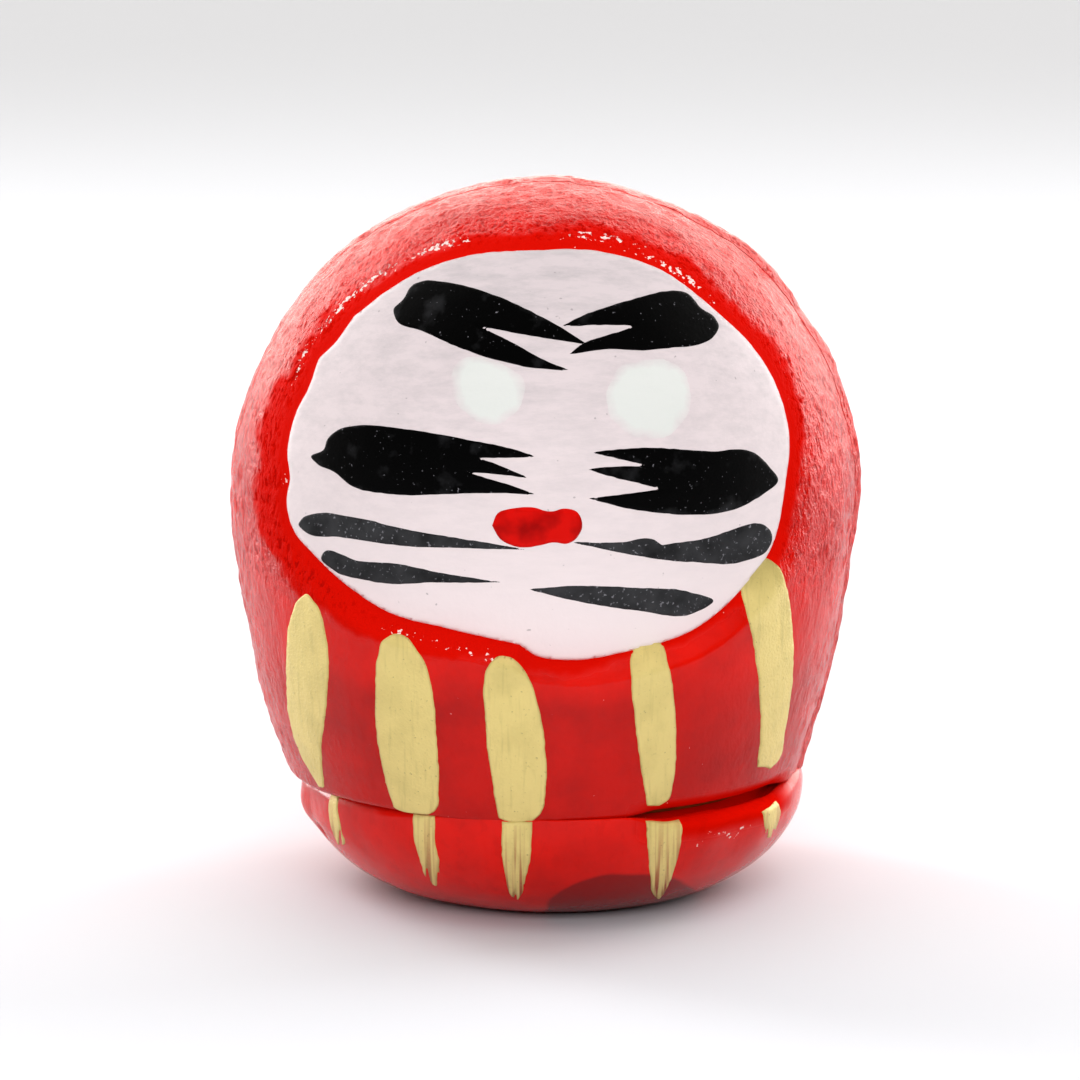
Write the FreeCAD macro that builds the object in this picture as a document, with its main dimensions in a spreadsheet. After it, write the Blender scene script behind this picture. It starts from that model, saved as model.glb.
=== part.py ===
import FreeCAD, Part

import math
import os

import Sketcher

# A small daruma: a hollow papier-mache doll glued on a solid clay base, with its painted films.
#
# Frame: millimetres, +Z up, front towards -Y, origin under the body's axis on the floor.
# The body is one turned form. It is split into a front and a back shell, and a strip of paper
# covers the join. The face is a shallow hollow in the front shell. The clay base has a plug that
# sits in the shell's mouth in a ring of glue. Each painted film is a thin solid on what it covers.

DIMENSIONS = {
    # body of the doll
    "body_width": 52.0,
    "body_height": 60.2,
    "widest_height": 34.0,
    "shoulder_angle": 45.0,
    "skirt_radius": 70.0,
    "shell_wall": 1.5,
    "seam_height": 9.8,
    # paper strip over the join of the two shells
    "strip_width": 4.0,
    "strip_thickness": 0.2,
    # hollow of the face
    "face_width": 41.2,
    "face_height": 32.2,
    "face_centre_height": 39.7,
    "face_offset": -0.4,
    "face_recess": 2.2,
    "face_flattening": 2.0,
    # clay base
    "base_offset": 0.8,
    "rim_lip": 0.3,
    "foot_radius": 12.0,
    "bowl_bulge": 2.4,
    "plug_height": 4.0,
    "glue_gap": 0.5,
    "glue_height": 3.0,
    # open crack between the base's rim and the shell
    "crack_height": 0.6,
    "crack_depth": 1.6,
    "crack_start": -72.0,
    "crack_sweep": 60.0,
    # painted films
    "face_film": 0.15,
    "ink_film": 0.12,
    "gold_film": 0.12,
}

# Sizes that follow from the ones above. The shoulder and crown arcs of the body meet at
# shoulder_angle, and the bowl's arc bulges by bowl_bulge from the chord between rim and foot.
DERIVED = {
    "half_width": "sizes.body_width / 2",
    "dome_height": "sizes.body_height - sizes.widest_height",
    "arch_gap": "(.dome_height - .half_width)"
                " / (cos(sizes.shoulder_angle) + sin(sizes.shoulder_angle) - 1)",
    "crown_radius": ".dome_height - .arch_gap * sin(sizes.shoulder_angle)",
    "side_radius": ".half_width + .arch_gap * cos(sizes.shoulder_angle)",
    "seam_rise": "sizes.widest_height - sizes.seam_height",
    "seam_radius": ".half_width - sizes.skirt_radius + sqrt(sizes.skirt_radius ^ 2 - .seam_rise ^ 2)",
    "mouth_radius": ".half_width - sizes.skirt_radius"
                    " + sqrt((sizes.skirt_radius - sizes.shell_wall) ^ 2 - .seam_rise ^ 2)",
    "plug_radius": ".mouth_radius - sizes.glue_gap",
    "rim_radius": ".seam_radius + sizes.rim_lip",
    "bowl_chord": "sqrt((.rim_radius - sizes.foot_radius) ^ 2 + sizes.seam_height ^ 2)",
    "bowl_radius": "(.bowl_chord ^ 2 / 4 + sizes.bowl_bulge ^ 2) / (2 * sizes.bowl_bulge)",
    "bowl_centre_x": "(.rim_radius + sizes.foot_radius) / 2"
                     " - (.bowl_radius - sizes.bowl_bulge) * sizes.seam_height / .bowl_chord",
    "bowl_centre_z": "sizes.seam_height / 2 + (.bowl_radius - sizes.bowl_bulge)"
                     " * (.rim_radius - sizes.foot_radius) / .bowl_chord",
    "face_half_width": "sizes.face_width / 2",
    "face_half_height": "sizes.face_height / 2",
    "hollow_half_width": ".face_half_width + sizes.shell_wall",
    "hollow_half_height": ".face_half_height + sizes.shell_wall",
    "base_height": "sizes.seam_height",
    "chest_height": "sizes.face_centre_height - sizes.face_height / 2 - sizes.seam_height",
    "set_back": "sizes.face_flattening + sizes.face_recess",
}

# Painted outlines are closed loops of arcs: a corner, a point midway on the arc, the next
# corner, and so on. On the face they are shares of its half width and half height.
FACE_OUTLINE = [(-0.76, 0.58), (0.0, 1.0), (0.78, 0.58), (1.0, -0.07),
                (0.80, -0.70), (0.0, -1.0), (-0.75, -0.69), (-1.0, -0.1)]

# One brush stroke: blunt end (corner, tip of the round, corner), one side, the fine tip, the other side.
FACE_STROKES = {
    "brow_left": [
        [(-0.42, 0.84), (-0.57, 0.71), (-0.49, 0.61), (-0.15, 0.63), (0.14, 0.58), (-0.11, 0.76)],
        [(-0.44, 0.76), (-0.55, 0.69), (-0.45, 0.61), (-0.16, 0.48), (0.13, 0.43), (-0.11, 0.57)],
    ],
    "brow_right": [
        [(0.54, 0.79), (0.70, 0.62), (0.60, 0.53), (0.36, 0.62), (0.09, 0.65), (0.29, 0.74)],
        [(0.50, 0.73), (0.69, 0.61), (0.63, 0.53), (0.42, 0.52), (0.12, 0.51), (0.28, 0.60)],
    ],
    "cheek_beard_left": [
        [(-0.72, 0.13), (-0.84, 0.03), (-0.78, -0.05), (-0.32, 0.02), (0.0, 0.03), (-0.31, 0.11)],
        [(-0.73, 0.08), (-0.88, -0.04), (-0.78, -0.09), (-0.28, -0.07), (-0.03, -0.07), (-0.27, 0.01)],
        [(-0.76, 0.02), (-0.85, -0.06), (-0.73, -0.15), (-0.37, -0.17), (0.0, -0.16), (-0.28, -0.05)],
    ],
    "cheek_beard_right": [
        [(0.77, 0.02), (0.91, -0.08), (0.84, -0.16), (0.43, -0.01), (0.19, 0.05), (0.42, 0.07)],
        [(0.80, -0.01), (0.94, -0.15), (0.82, -0.23), (0.41, -0.10), (0.18, -0.03), (0.42, -0.01)],
        [(0.82, -0.07), (0.92, -0.17), (0.77, -0.27), (0.47, -0.26), (0.18, -0.17), (0.46, -0.14)],
    ],
    "whisker_upper_left": [
        [(-0.88, -0.31), (-0.93, -0.36), (-0.89, -0.42), (-0.42, -0.44), (-0.03, -0.43), (-0.39, -0.36)],
    ],
    "whisker_lower_left": [
        [(-0.85, -0.50), (-0.87, -0.54), (-0.78, -0.61), (-0.47, -0.63), (-0.13, -0.60), (-0.47, -0.54)],
    ],
    "whisker_upper_right": [
        [(0.89, -0.39), (0.92, -0.44), (0.85, -0.54), (0.48, -0.50), (0.16, -0.40), (0.50, -0.40)],
    ],
    "whisker_lower_right": [
        [(0.60, -0.67), (0.68, -0.73), (0.61, -0.79), (0.29, -0.74), (-0.05, -0.63), (0.29, -0.62)],
    ],
    "mouth": [
        [(-0.09, -0.22), (-0.18, -0.31), (-0.09, -0.40), (0.0, -0.39),
         (0.09, -0.40), (0.17, -0.31), (0.09, -0.22), (0.0, -0.23)],
    ],
    "eye_white_left": [[(-0.34, 0.31), (-0.19, 0.17), (-0.04, 0.31), (-0.19, 0.45)]],
    "eye_white_right": [[(0.25, 0.28), (0.42, 0.10), (0.58, 0.28), (0.42, 0.46)]],
}

# Gold strokes on the chest: across as shares of the body's half width, up as shares of the
# height between the seam and the face.
GOLD_STROKES = {
    1: [(-0.80, 0.95), (-0.75, 1.25), (-0.69, 0.95), (-0.67, 0.55),
        (-0.69, 0.14), (-0.71, 0.10), (-0.75, 0.18), (-0.82, 0.60)],
    2: [(-0.51, 0.94), (-0.45, 1.10), (-0.37, 0.94), (-0.335, 0.45),
        (-0.36, 0.04), (-0.42, 0.01), (-0.48, 0.06), (-0.53, 0.60)],
    3: [(-0.18, 0.87), (-0.12, 1.00), (-0.04, 0.87), (0.01, 0.45),
        (-0.01, 0.04), (-0.08, 0.01), (-0.14, 0.04), (-0.175, 0.50)],
    4: [(0.27, 0.95), (0.32, 1.04), (0.375, 0.95), (0.41, 0.55),
        (0.395, 0.12), (0.36, 0.10), (0.32, 0.14), (0.285, 0.60)],
    5: [(0.63, 1.20), (0.70, 1.36), (0.76, 1.22), (0.79, 0.75),
        (0.75, 0.22), (0.71, 0.18), (0.68, 0.24), (0.665, 0.75)],
}

# Their tails on the clay base: across as shares of the rim's radius, up as shares of the seam's height.
GOLD_TAILS = {
    1: [(-0.86, 0.92), (-0.845, 0.93), (-0.83, 0.92), (-0.82, 0.70), (-0.80, 0.45), (-0.845, 0.70)],
    2: [(-0.53, 0.91), (-0.49, 0.92), (-0.46, 0.91), (-0.44, 0.62), (-0.45, 0.32), (-0.51, 0.62)],
    3: [(-0.18, 0.91), (-0.13, 0.92), (-0.08, 0.91), (-0.085, 0.60), (-0.14, 0.27), (-0.18, 0.60)],
    4: [(0.35, 0.90), (0.41, 0.91), (0.47, 0.90), (0.46, 0.60), (0.40, 0.16), (0.37, 0.60)],
    5: [(0.80, 0.89), (0.83, 0.90), (0.87, 0.89), (0.86, 0.75), (0.82, 0.60), (0.81, 0.75)],
}

document = FreeCAD.newDocument("daruma_doll")


def make_sheet():
    """Spreadsheet of the driving dimensions, one plain number with an alias on each row."""
    sheet = document.addObject("Spreadsheet::Sheet", "sizes")
    for row, (name, number) in enumerate(DIMENSIONS.items(), start=1):
        sheet.set(f"A{row}", name)
        sheet.set(f"B{row}", str(number))
        sheet.setAlias(f"B{row}", name)
    document.recompute()
    return sheet


def make_derived():
    """Sizes worked out from the sheet, each a property with its formula."""
    derived = document.addObject("App::VarSet", "derived")
    for name, formula in DERIVED.items():
        derived.addProperty("App::PropertyFloat", name, "Derived")
        derived.setExpression(name, formula)
        document.recompute()
    return derived


sizes = make_sheet()
derived = make_derived()


def origin_plane(body, role):
    """The body's own origin plane with that role."""
    return next(item for item in body.Origin.OriginFeatures if item.Role == role)


def new_sketch(label, role="XZ_Plane"):
    """A PartDesign body with one empty sketch on an origin plane."""
    body = document.addObject("PartDesign::Body", label)
    sketch = body.newObject("Sketcher::SketchObject", f"{label}_outline")
    sketch.AttachmentSupport = [(origin_plane(body, role), "")]
    sketch.MapMode = "FlatFace"
    return body, sketch


def bind(sketch, kind, *arguments, formula):
    """Add a sized constraint and bind it to a formula of the sheet."""
    index = sketch.addConstraint(Sketcher.Constraint(kind, *arguments))
    sketch.setExpression(f"Constraints[{index}]", formula)


def arc(x, z, radius, start, end):
    """Arc of a circle in the sketch plane, its angles in radians."""
    circle = Part.Circle(FreeCAD.Vector(x, z, 0), FreeCAD.Vector(0, 0, 1), radius)
    return Part.ArcOfCircle(circle, start, end)


def line(start, end):
    """Straight edge in the sketch plane."""
    return Part.LineSegment(FreeCAD.Vector(*start, 0), FreeCAD.Vector(*end, 0))


def close_on_axis(sketch, corners, axis):
    """Join pairs of edge ends, each as (kind, edge, end, edge, end), and put the last edge on the axis."""
    for corner in corners:
        sketch.addConstraint(Sketcher.Constraint(*corner))
    for end in (1, 2):
        sketch.addConstraint(Sketcher.Constraint("PointOnObject", axis, end, -2))


def revolve(body, sketch, angle=360):
    """Turn the sketch about its vertical axis."""
    turned = body.newObject("PartDesign::Revolution", f"{body.Label}_turned")
    turned.Profile = sketch
    turned.ReferenceAxis = (sketch, ["V_Axis"])
    turned.Angle = angle
    return turned


def dome(label, grow="0", floor="sizes.seam_height", back="0"):
    """The body's form, grown by an offset, flat at the floor height and moved back by a distance.

    The profile is a crown arc, a shoulder arc to the widest height and a skirt arc below it.
    """
    body, sketch = new_sketch(label)
    corner = math.radians(sizes.shoulder_angle)
    drop = math.asin((sizes.seam_height - sizes.widest_height) / sizes.skirt_radius)
    side_x = derived.half_width - derived.side_radius
    skirt_x = derived.half_width - sizes.skirt_radius
    foot = (derived.seam_radius, sizes.seam_height)
    top = (0, sizes.body_height)
    crown = sketch.addGeometry(
        arc(0, sizes.body_height - derived.crown_radius, derived.crown_radius, corner, math.pi / 2))
    side = sketch.addGeometry(arc(side_x, sizes.widest_height, derived.side_radius, 0, corner))
    skirt = sketch.addGeometry(arc(skirt_x, sizes.widest_height, sizes.skirt_radius, drop, 0))
    base = sketch.addGeometry(line(foot, (0, sizes.seam_height)))
    axis = sketch.addGeometry(line((0, sizes.seam_height), top))
    close_on_axis(sketch, [("Coincident", axis, 2, crown, 2), ("Tangent", crown, 1, side, 2),
                           ("Tangent", side, 1, skirt, 2), ("Coincident", skirt, 1, base, 1),
                           ("Coincident", base, 2, axis, 1)], axis)
    bind(sketch, "Radius", crown, derived.crown_radius, formula=f"derived.crown_radius + {grow}")
    bind(sketch, "Radius", skirt, sizes.skirt_radius, formula=f"sizes.skirt_radius + {grow}")
    sketch.addConstraint(Sketcher.Constraint("PointOnObject", crown, 3, -2))
    bind(sketch, "DistanceY", -1, 1, axis, 2, sizes.body_height, formula=f"sizes.body_height + {grow}")
    bind(sketch, "DistanceX", -1, 1, side, 1, derived.half_width, formula=f"derived.half_width + {grow}")
    bind(sketch, "DistanceY", -1, 1, side, 3, sizes.widest_height, formula="sizes.widest_height")
    bind(sketch, "DistanceY", -1, 1, skirt, 3, sizes.widest_height, formula="sizes.widest_height")
    bind(sketch, "DistanceY", -1, 1, base, 1, sizes.seam_height, formula=floor)
    sketch.addConstraint(Sketcher.Constraint("Horizontal", base))
    revolve(body, sketch)
    body.setExpression("Placement.Base.y", back)
    return body


def bowl(label, grow="0"):
    """The clay base's form, grown by an offset: a flat foot, one arc up to the rim and a flat top."""
    body, sketch = new_sketch(label)
    centre = (derived.bowl_centre_x, derived.bowl_centre_z)
    rim = (derived.rim_radius, sizes.seam_height)
    low = math.atan2(-centre[1], sizes.foot_radius - centre[0])
    high = math.atan2(rim[1] - centre[1], rim[0] - centre[0])
    side = sketch.addGeometry(arc(*centre, derived.bowl_radius, low, high))
    foot = sketch.addGeometry(line((0, 0), (sizes.foot_radius, 0)))
    lid = sketch.addGeometry(line(rim, (0, sizes.seam_height)))
    axis = sketch.addGeometry(line((0, sizes.seam_height), (0, 0)))
    close_on_axis(sketch, [("Coincident", foot, 2, side, 1), ("Coincident", side, 2, lid, 1),
                           ("Coincident", lid, 2, axis, 1), ("Coincident", axis, 2, foot, 1)], axis)
    bind(sketch, "DistanceX", -1, 1, side, 3, centre[0], formula="derived.bowl_centre_x")
    bind(sketch, "DistanceY", -1, 1, side, 3, centre[1], formula="derived.bowl_centre_z")
    bind(sketch, "Radius", side, derived.bowl_radius, formula=f"derived.bowl_radius + {grow}")
    bind(sketch, "DistanceY", -1, 1, lid, 1, sizes.seam_height, formula="sizes.seam_height")
    sketch.addConstraint(Sketcher.Constraint("Horizontal", lid))
    for end in (1, 2):
        sketch.addConstraint(Sketcher.Constraint("PointOnObject", foot, end, -1))
    revolve(body, sketch)
    body.setExpression("Placement.Base.x", "sizes.base_offset")
    return body


def add_plug(body):
    """Raise the plug on the bowl's top, centred on the doll's own axis."""
    sketch = body.newObject("Sketcher::SketchObject", "plug_circle")
    sketch.AttachmentSupport = [(origin_plane(body, "XY_Plane"), "")]
    sketch.MapMode = "FlatFace"
    sketch.setExpression("AttachmentOffset.Base.z", "sizes.seam_height")
    centre = FreeCAD.Vector(-sizes.base_offset, 0, 0)
    circle = sketch.addGeometry(Part.Circle(centre, FreeCAD.Vector(0, 0, 1), derived.plug_radius))
    bind(sketch, "Radius", circle, derived.plug_radius, formula="derived.plug_radius")
    bind(sketch, "DistanceX", -1, 1, circle, 3, -sizes.base_offset, formula="-sizes.base_offset")
    sketch.addConstraint(Sketcher.Constraint("PointOnObject", circle, 3, -1))
    plug = body.newObject("PartDesign::Pad", "plug")
    plug.Profile = sketch
    plug.setExpression("Length", "sizes.plug_height")
    return body


def crack_wedge():
    """A thin wedge, swept round part of the rim, that keeps the crack open at the front right."""
    body, sketch = new_sketch("crack_wedge")
    reach = derived.rim_radius + sizes.crack_depth
    outer_top = (reach, sizes.seam_height)
    outer_low = (reach, sizes.seam_height - sizes.crack_height)
    inner = (derived.rim_radius - sizes.crack_depth, sizes.seam_height)
    top = sketch.addGeometry(line(inner, outer_top))
    face = sketch.addGeometry(line(outer_top, outer_low))
    slope = sketch.addGeometry(line(outer_low, inner))
    for first, second in ((top, face), (face, slope), (slope, top)):
        sketch.addConstraint(Sketcher.Constraint("Coincident", first, 2, second, 1))
    sketch.addConstraint(Sketcher.Constraint("Horizontal", top))
    sketch.addConstraint(Sketcher.Constraint("Vertical", face))
    bind(sketch, "DistanceX", -1, 1, top, 2, reach, formula="derived.rim_radius + sizes.crack_depth")
    bind(sketch, "DistanceX", -1, 1, top, 1, inner[0], formula="derived.rim_radius - sizes.crack_depth")
    bind(sketch, "DistanceY", -1, 1, top, 2, sizes.seam_height, formula="sizes.seam_height")
    bind(sketch, "DistanceY", -1, 1, face, 2, outer_low[1], formula="sizes.seam_height - sizes.crack_height")
    turned = revolve(body, sketch)
    turned.setExpression("Angle", "sizes.crack_sweep")
    body.Placement = FreeCAD.Placement(
        FreeCAD.Vector(), FreeCAD.Rotation(FreeCAD.Vector(0, 0, 1), sizes.crack_start))
    body.setExpression("Placement.Base.x", "sizes.base_offset")
    body.setExpression("Placement.Rotation.Angle", "sizes.crack_start")
    return body


def three_point_arc(start, middle, end):
    """Arc through three points, and which of its ends is the start and which is the end."""
    (ax, az), (bx, bz), (cx, cz) = start, middle, end
    twice = 2 * (ax * (bz - cz) + bx * (cz - az) + cx * (az - bz))
    a2, b2, c2 = ax * ax + az * az, bx * bx + bz * bz, cx * cx + cz * cz
    x = (a2 * (bz - cz) + b2 * (cz - az) + c2 * (az - bz)) / twice
    z = (a2 * (cx - bx) + b2 * (ax - cx) + c2 * (bx - ax)) / twice
    first = math.atan2(az - z, ax - x)
    last = math.atan2(cz - z, cx - x)
    if twice > 0:
        return arc(x, z, math.hypot(ax - x, az - z), first, last), 1, 2
    return arc(x, z, math.hypot(ax - x, az - z), last, first), 2, 1


def painted_prism(label, shares, across, up, x="0", z="0"):
    """A closed loop of arcs run forward from the middle plane through whatever it is painted on.

    Corners and arc points are shares of two derived sizes, measured from the point (x, z).
    """
    body, sketch = new_sketch(label)
    points = [(u * getattr(derived, across), v * getattr(derived, up)) for u, v in shares]
    arcs = []
    for corner in range(0, len(points), 2):
        start, middle, end = (points[(corner + step) % len(points)] for step in range(3))
        shape, first, last = three_point_arc(start, middle, end)
        edge = sketch.addGeometry(shape)
        on_arc = sketch.addGeometry(Part.Point(FreeCAD.Vector(*middle, 0)), True)
        sketch.addConstraint(Sketcher.Constraint("PointOnObject", on_arc, 1, edge))
        arcs.append((edge, first, last, on_arc))
    for index, (edge, first, last, on_arc) in enumerate(arcs):
        following = arcs[(index + 1) % len(arcs)]
        sketch.addConstraint(Sketcher.Constraint("Coincident", edge, last, following[0], following[1]))
        for step, point in ((0, (edge, first)), (1, (on_arc, 1))):
            place, share = points[2 * index + step], shares[2 * index + step]
            bind(sketch, "DistanceX", -1, 1, *point, place[0], formula=f"derived.{across} * {share[0]}")
            bind(sketch, "DistanceY", -1, 1, *point, place[1], formula=f"derived.{up} * {share[1]}")
    prism = body.newObject("PartDesign::Pad", f"{label}_prism")
    prism.Profile = sketch
    prism.setExpression("Length", "sizes.body_width")
    body.setExpression("Placement.Base.x", x)
    body.setExpression("Placement.Base.z", z)
    return body


def combine(kind, label, base, tool):
    """Cut or Common of two objects."""
    result = document.addObject(f"Part::{kind}", label)
    result.Base = base
    result.Tool = tool
    return result


def block(label, x="-sizes.body_width", y="-sizes.body_width", z="0", **lengths):
    """A box for halving and trimming; lengths not given are twice the body's width or height."""
    box = document.addObject("Part::Box", label)
    sizes_of_box = {"Length": "2 * sizes.body_width", "Width": "2 * sizes.body_width",
                    "Height": "2 * sizes.body_height", **lengths}
    for name, formula in {"Placement.Base.x": x, "Placement.Base.y": y, "Placement.Base.z": z,
                          **sizes_of_box}.items():
        box.setExpression(name, formula)
    return box


def face_prism(label, across="face_half_width", up="face_half_height", shares=FACE_OUTLINE):
    """A prism placed on the face, by default its whole outline."""
    return painted_prism(label, shares, across, up, x="sizes.face_offset", z="sizes.face_centre_height")


def make_shells(body_form, floor):
    """Front and back shells: the hollow form with the face pressed in, halved at the middle plane."""
    inner_floor = dome("face_back", "sizes.face_flattening - sizes.shell_wall",
                       floor="sizes.seam_height - sizes.shell_wall", back="derived.set_back")
    outline = face_prism("face_opening")
    wide_outline = face_prism("face_opening_inside", "hollow_half_width", "hollow_half_height")
    outside = combine("Cut", "outside_form", body_form, combine("Cut", "face_hollow", outline, floor))
    inside = combine("Cut", "inside_form",
                     dome("body_inside", "-sizes.shell_wall", floor="sizes.seam_height - sizes.shell_wall"),
                     combine("Cut", "face_pad", wide_outline, inner_floor))
    hollow = combine("Cut", "whole_shell", outside, inside)
    front = combine("Common", "front_shell", hollow, block("front_half", Width="sizes.body_width"))
    back = combine("Common", "back_shell", hollow, block("back_half", y="0", Width="sizes.body_width"))
    return [front, back]


def make_strip(body_form):
    """Paper strip over the join, up one side, over the crown and down the other."""
    skin = combine("Cut", "strip_skin", dome("strip_form", "sizes.strip_thickness"), body_form)
    band = block("strip_band", y="-sizes.strip_width / 2", Width="sizes.strip_width")
    return combine("Common", "side_seam_strip", skin, band)


def make_base():
    """Solid clay base with its plug, and the ring of glue round the plug."""
    base = combine("Cut", "base_weight", add_plug(bowl("base_form")), crack_wedge())
    bed = combine("Common", "glue_bed", dome("glue_form", "-sizes.shell_wall"),
                  block("glue_slab", z="sizes.seam_height", Height="sizes.glue_height"))
    plug = document.addObject("Part::Cylinder", "plug_in_glue")
    plug.setExpression("Radius", "derived.plug_radius")
    plug.setExpression("Height", "2 * sizes.body_height")
    return [base, combine("Cut", "glue_ring", bed, plug)]


def make_face(floor):
    """White face coat on the floor of the hollow, and the marks painted on it, within its outline."""
    outline = face_prism("face_coat_outline")
    coat = dome("coat_form", "sizes.face_flattening + sizes.face_film", back="derived.set_back")
    face = combine("Common", "face_coat", outline, combine("Cut", "coat_skin", coat, floor))
    ink = dome("ink_form", "sizes.face_flattening + sizes.face_film + sizes.ink_film",
               back="derived.set_back")
    skin = combine("Common", "ink_skin", outline, combine("Cut", "ink_layer", ink, coat))
    films = [face]
    for name, strokes in FACE_STROKES.items():
        prisms = [face_prism(f"{name}_stroke_{number}", shares=shares)
                  for number, shares in enumerate(strokes, start=1)]
        if len(prisms) > 1:
            mark = document.addObject("Part::MultiFuse", f"{name}_strokes")
            mark.Shapes = prisms
        else:
            mark = prisms[0]
        films.append(combine("Common", name, mark, skin))
    return films


def make_gold(body_form):
    """Five gold strokes on the chest, and the tail of each on the clay base."""
    chest = combine("Cut", "gold_skin", dome("gold_form", "sizes.gold_film"), body_form)
    around_face = combine("Cut", "gold_skin_open", chest, face_prism("gold_face_opening"))
    foot = combine("Cut", "tail_skin", bowl("tail_form", "sizes.gold_film"), bowl("tail_bed"))
    films = []
    for number, shares in GOLD_STROKES.items():
        prism = painted_prism(f"gold_outline_{number}", shares, "half_width", "chest_height",
                              z="sizes.seam_height")
        films.append(combine("Common", f"gold_stroke_{number}", prism, around_face))
    for number, shares in GOLD_TAILS.items():
        prism = painted_prism(f"tail_outline_{number}", shares, "rim_radius", "base_height",
                              x="sizes.base_offset")
        films.append(combine("Common", f"gold_tail_{number}", prism, foot))
    return films


def check(nodes):
    """Stop if any object failed, or a node's shape is empty or not valid."""
    failed = [item.Name for item in document.Objects if {"Invalid", "Error"} & set(item.State)]
    if failed:
        raise RuntimeError(f"these objects failed: {failed}")
    for node in nodes:
        if node.Shape.isNull() or not node.Shape.isValid() or not node.Shape.Solids:
            raise RuntimeError(f"{node.Label} has no valid solid")


def export(nodes):
    """Write each node's shape to its own file."""
    os.makedirs("parts", exist_ok=True)
    for node in nodes:
        node.Shape.exportStep(f"parts/{node.Label}.step")
        print(f"{node.Label}: {len(node.Shape.Solids)} solid, {node.Shape.Volume:.1f} mm3")


body_form = dome("body_form")
face_floor = dome("face_floor", "sizes.face_flattening", back="derived.set_back")
nodes = make_shells(body_form, face_floor) + [make_strip(body_form)] + make_base()
nodes += make_face(face_floor) + make_gold(body_form)
document.recompute()
check(nodes)
export(nodes)
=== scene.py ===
import math

import bpy
import numpy as np
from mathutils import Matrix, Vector


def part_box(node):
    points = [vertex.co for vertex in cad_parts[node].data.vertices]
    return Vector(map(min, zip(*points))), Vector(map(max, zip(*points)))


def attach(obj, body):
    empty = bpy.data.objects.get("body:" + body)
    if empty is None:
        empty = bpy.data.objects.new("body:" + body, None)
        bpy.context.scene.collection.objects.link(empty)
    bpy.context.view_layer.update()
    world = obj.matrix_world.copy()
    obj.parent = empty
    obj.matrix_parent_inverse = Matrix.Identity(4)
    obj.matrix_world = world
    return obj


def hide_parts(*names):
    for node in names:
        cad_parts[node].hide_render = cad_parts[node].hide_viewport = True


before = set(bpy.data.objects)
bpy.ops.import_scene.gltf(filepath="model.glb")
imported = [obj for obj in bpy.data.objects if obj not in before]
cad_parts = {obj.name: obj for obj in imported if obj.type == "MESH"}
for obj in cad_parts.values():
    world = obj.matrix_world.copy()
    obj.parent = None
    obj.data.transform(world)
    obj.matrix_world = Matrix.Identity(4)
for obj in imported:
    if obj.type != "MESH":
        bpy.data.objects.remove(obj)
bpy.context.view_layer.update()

# A small daruma of red lacquered papier-mache on a clay base. Shapes are worked out in millimetres in
# the frame's own axes: +Z up, the face towards -Y. Meshes are made in metres.
MM = 0.001


def cad_span(node):
    """Lowest and highest corner of a CAD node, in millimetres."""
    low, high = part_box(node)
    return np.array(low) / MM, np.array(high) / MM


shell_low, shell_high = cad_span("front_shell")
base_low, base_high = cad_span("base_weight")

# The turned body: a crown arc, a shoulder arc down to the widest height and a skirt arc below it.
HALF_WIDTH = float(shell_high[0])
TOP = float(shell_high[2])
SEAM = float(shell_low[2])
WIDEST = 34.0
SHOULDER = math.radians(45)
SKIRT_RADIUS = 70.0
ARCH_GAP = (TOP - WIDEST - HALF_WIDTH) / (math.cos(SHOULDER) + math.sin(SHOULDER) - 1)
CROWN_RADIUS = TOP - WIDEST - ARCH_GAP * math.sin(SHOULDER)
SIDE_RADIUS = HALF_WIDTH + ARCH_GAP * math.cos(SHOULDER)
WALL = 1.5

# The hollow of the face: the body's form grown a little and set back.
FLATTENING = 2.0
SET_BACK = 4.2
RIM_FOOT = 0.15
RIM_WIDTH = 2.3
FACE_MIDDLE = 40.0

# The clay bowl: a flat foot and one bulging arc up to the rim.
BASE_X = float(base_low[0] + base_high[0]) / 2
RIM_RADIUS = float(base_high[0] - base_low[0]) / 2
PLUG_TOP = float(base_high[2])
PLUG_RADIUS = 19.5
FOOT_RADIUS = 12.0
BOWL_BULGE = 2.4

# The open crack at the front right, in degrees of turn from the front: it starts to open at the first,
# gapes from the second to the third, and is shut again at the last.
CRACK = (15, 27, 60, 74)

# Films of paint, each a little thicker than it is in life so that its edge catches light, and how far
# their undersides lie below what they are painted on.
FACE_FILM = 0.12
INK_FILM = 0.05
EYE_FILM = 0.035
MOUTH_FILM = 0.12
GOLD_FILM = 0.07
FILM_SINK = 0.12


# ---------------- number tools

def noise(points, grain, seed):
    """Smooth random waves about one grain long: a seeded lattice of numbers from -1 to 1 in space,
    blended between its eight nearest corners with an eased weight."""
    size = 48
    lattice = np.random.default_rng(seed).uniform(-1, 1, (size, size, size))
    place = np.asarray(points) / grain
    cell = np.floor(place).astype(int)
    part = place - cell
    part = part * part * (3 - 2 * part)
    total = np.zeros(place.shape[:-1])
    for corner in np.ndindex(2, 2, 2):
        x, y, z = np.moveaxis((cell + corner) % size, -1, 0)
        total += np.prod(np.where(corner, part, 1 - part), axis=-1) * lattice[x, y, z]
    return total


def ease(value, low, high):
    """0 below low, 1 above high, and a smooth S between."""
    share = np.clip((value - low) / (high - low), 0, 1)
    return share * share * (3 - 2 * share)


def bump(value, centre, reach):
    """A bell curve of height 1."""
    return np.exp(-((value - centre) / reach) ** 2)


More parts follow.
